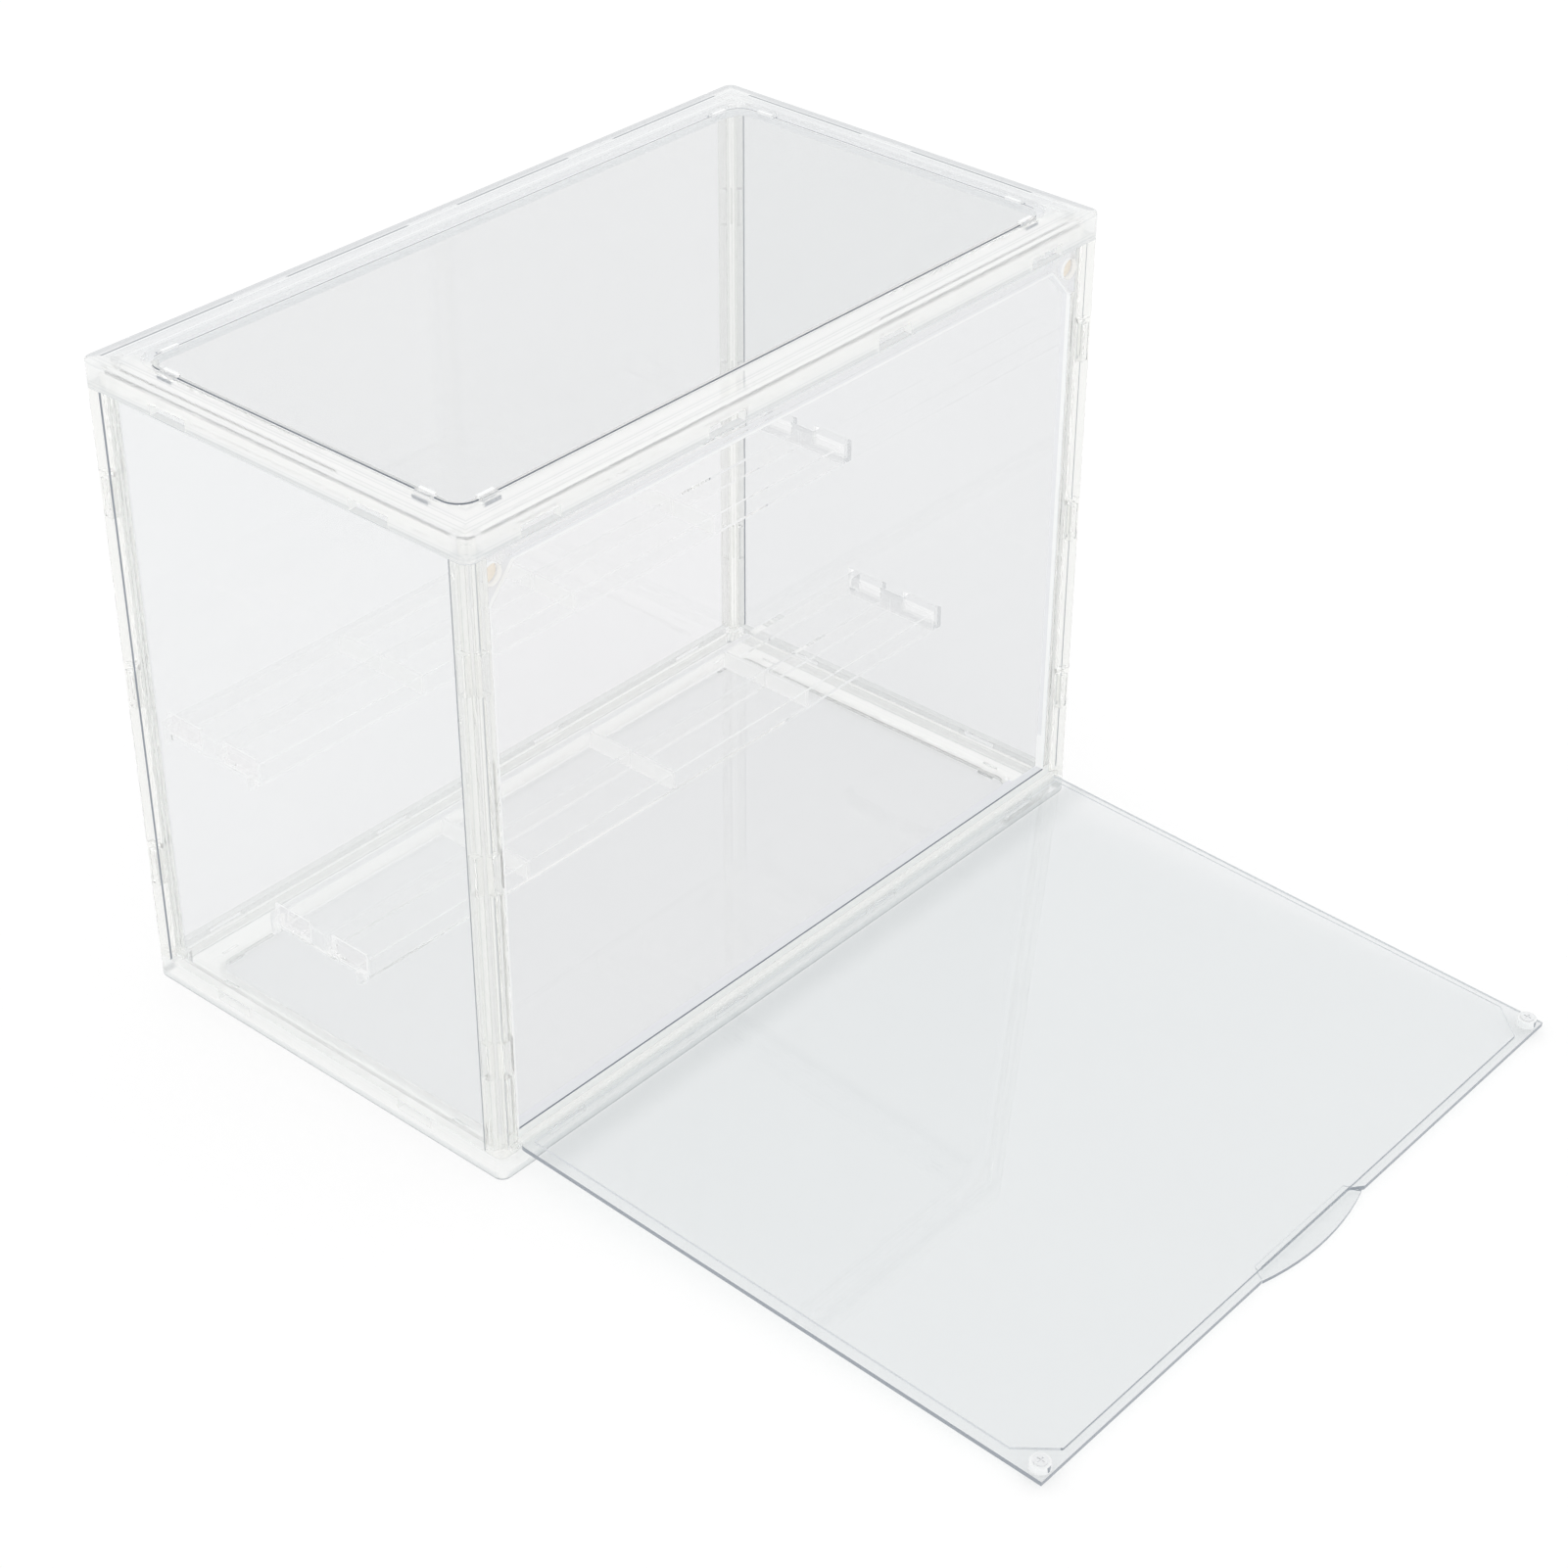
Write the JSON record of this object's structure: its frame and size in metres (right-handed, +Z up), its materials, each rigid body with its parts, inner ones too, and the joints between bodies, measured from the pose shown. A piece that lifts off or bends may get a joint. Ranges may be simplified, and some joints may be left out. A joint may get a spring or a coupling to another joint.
{
  "type": "figure display case",
  "caption": "Clear plastic display case with a drop-down door on bottom hinge pins, magnetic catches and stepped ribbed shelves, framed by moulded rails and corner posts",
  "frame": {"origin": "centre of the case's underside, on the surface it stands on, midway between its side faces and its front and back faces; the open door is not counted", "axes": "+X to the right along the long side seen from the front, -Y out of the front towards the door's free edge, +Z up"},
  "size_m": [0.315, 0.4034, 0.25],
  "materials": {
    "rail_plastic": "polished clear moulded plastic",
    "sheet_plastic": "polished clear plastic sheet",
    "magnet": "nickel plated",
    "screw_steel": "plated steel"
  },
  "bodies": {
    "case": {"base_frame": "rail_plastic", "top_frame": "rail_plastic", "post_front_left": "rail_plastic", "post_front_right": "rail_plastic", "post_back_left": "rail_plastic", "post_back_right": "rail_plastic", "panel_top": "sheet_plastic", "panel_bottom": "sheet_plastic", "panel_left": "sheet_plastic", "panel_right": "sheet_plastic", "panel_back": "sheet_plastic", "door_stop_frame": "sheet_plastic", "magnet_left": "magnet", "magnet_right": "magnet", "shelf_lower": "sheet_plastic", "shelf_upper": "sheet_plastic"},
    "door": {"door_panel": "sheet_plastic", "strike_screw_left": "screw_steel", "strike_screw_right": "screw_steel"}
  },
  "joints": [
    {"name": "door_hinge", "type": "hinge", "parent": "case", "child": "door", "pos_m": [0, -0.0875, 0.0116], "axis": [-1, 0, 0], "range_deg": [0, 92.37]}
  ]
}
